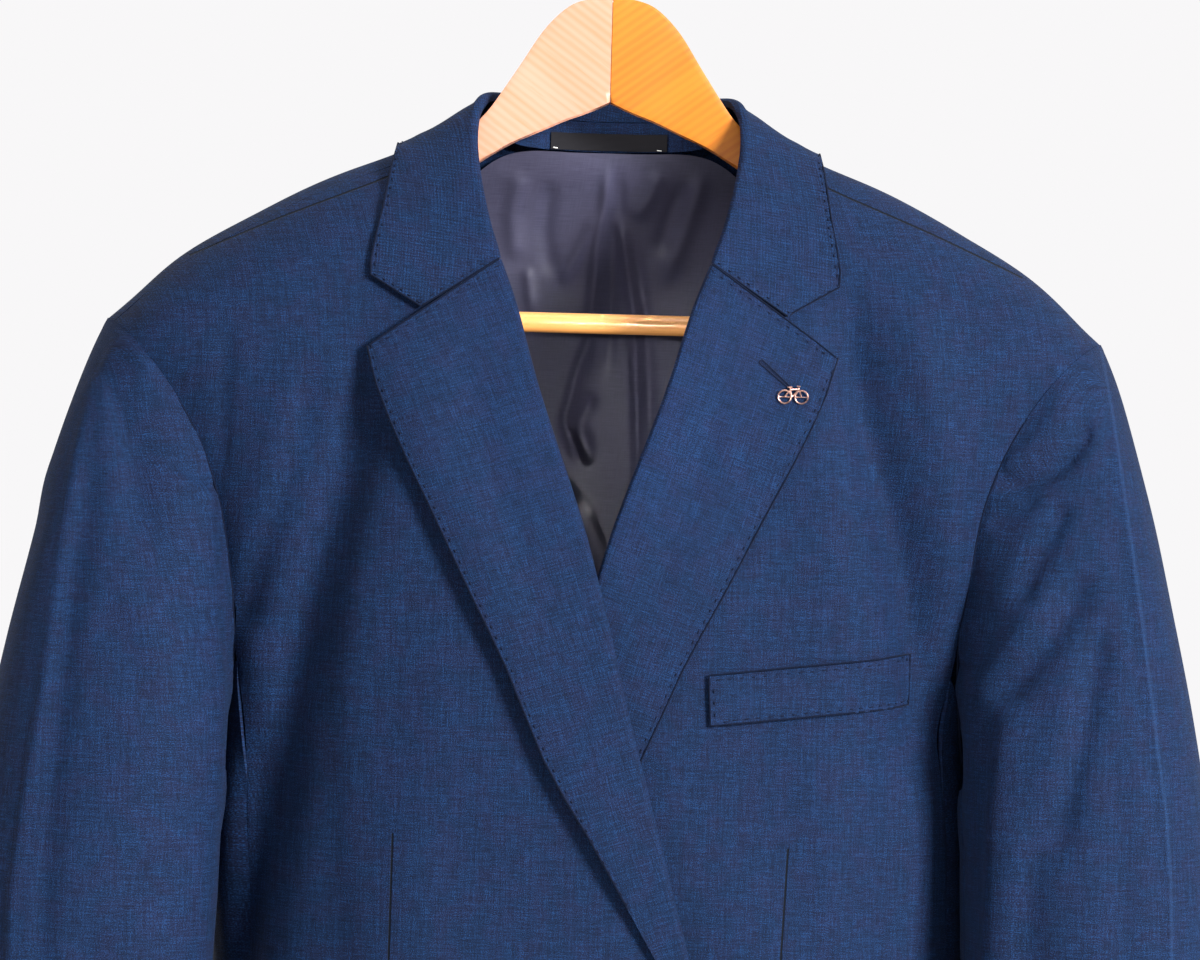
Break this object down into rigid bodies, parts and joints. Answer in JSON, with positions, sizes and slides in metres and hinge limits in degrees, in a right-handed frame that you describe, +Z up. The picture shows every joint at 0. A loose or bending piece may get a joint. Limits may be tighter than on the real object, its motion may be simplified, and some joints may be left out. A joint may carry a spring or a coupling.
{
  "type": "suit jacket on a wooden hanger",
  "caption": "Men's single-breasted notch-lapel suit jacket in blue cloth, hanging open on a wooden hanger with a trouser bar.",
  "frame": {"origin": "inside top of the hanger's hook, where it rests on a rail", "axes": "+Z up, +X to the viewer's right seen from the front, +Y towards the jacket's back"},
  "size_m": [0.6508, 0.2038, 0.9199],
  "materials": {
    "suit_cloth": "fine sharkskin wool, low sheen",
    "lining_satin": "charcoal satin",
    "label_black": "woven black label, bare",
    "button_navy": "polished navy",
    "pin_metal": "rose gold",
    "hanger_wood": "clear-lacquered light wood",
    "hook_steel": "bright"
  },
  "bodies": {
    "root": {"front_left": "suit_cloth", "front_right": "suit_cloth", "back_left": "suit_cloth", "back_right": "suit_cloth", "side_left": "suit_cloth", "side_right": "suit_cloth", "topsleeve_left": "suit_cloth", "topsleeve_right": "suit_cloth", "undersleeve_left": "suit_cloth", "undersleeve_right": "suit_cloth", "lapel_left": "suit_cloth", "lapel_right": "suit_cloth", "collar": "suit_cloth", "neck_facing": "suit_cloth", "breast_welt": "suit_cloth", "flap_left": "suit_cloth", "flap_right": "suit_cloth", "lining_back": "lining_satin", "label": "label_black", "button_front_1": "button_navy", "button_front_2": "button_navy", "button_left_1": "button_navy", "button_left_2": "button_navy", "button_left_3": "button_navy", "button_left_4": "button_navy", "button_right_1": "button_navy", "button_right_2": "button_navy", "button_right_3": "button_navy", "button_right_4": "button_navy", "lapel_pin": "pin_metal", "hanger_arm_left": "hanger_wood", "hanger_arm_right": "hanger_wood", "trouser_bar": "hanger_wood", "hook": "hook_steel"}
  },
  "joints": []
}
